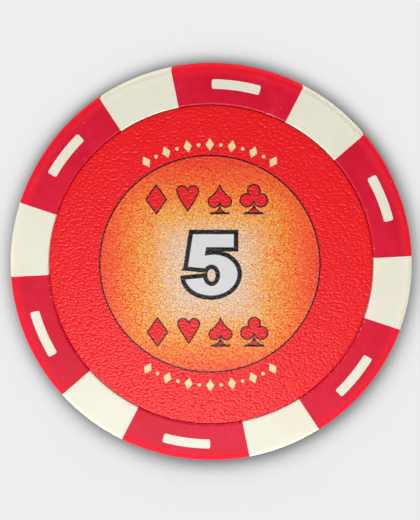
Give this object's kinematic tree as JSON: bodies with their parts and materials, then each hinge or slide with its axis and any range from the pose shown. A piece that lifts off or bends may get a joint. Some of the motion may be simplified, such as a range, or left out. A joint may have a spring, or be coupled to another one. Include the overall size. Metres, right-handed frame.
{
  "type": "poker chip",
  "caption": "Round two-colour moulded poker chip with cream edge spots and dashes in a red body, a weighted core, and a recessed embossed label with a numeral on each face.",
  "frame": {"origin": "centre of the chip, on the plane of its back rim", "axes": "+Z out of the front face, +Y up the front label"},
  "size_m": [0.039, 0.039, 0.0033],
  "materials": {
    "steel": "punched mild steel",
    "cream_plastic": "smooth moulded, semi-gloss",
    "red_plastic": "smooth moulded, semi-gloss",
    "adhesive": "thin adhesive film",
    "printed_film": "printed red, orange and pale centre",
    "clear_laminate": "clear, embossed with a fine leather grain"
  },
  "bodies": {
    "root": {"steel_slug": "steel", "cream_skeleton": "cream_plastic", "red_body": "red_plastic", "front_label_adhesive": "adhesive", "front_label_film": "printed_film", "front_label_laminate": "clear_laminate", "back_label_adhesive": "adhesive", "back_label_film": "printed_film", "back_label_laminate": "clear_laminate"}
  },
  "joints": []
}
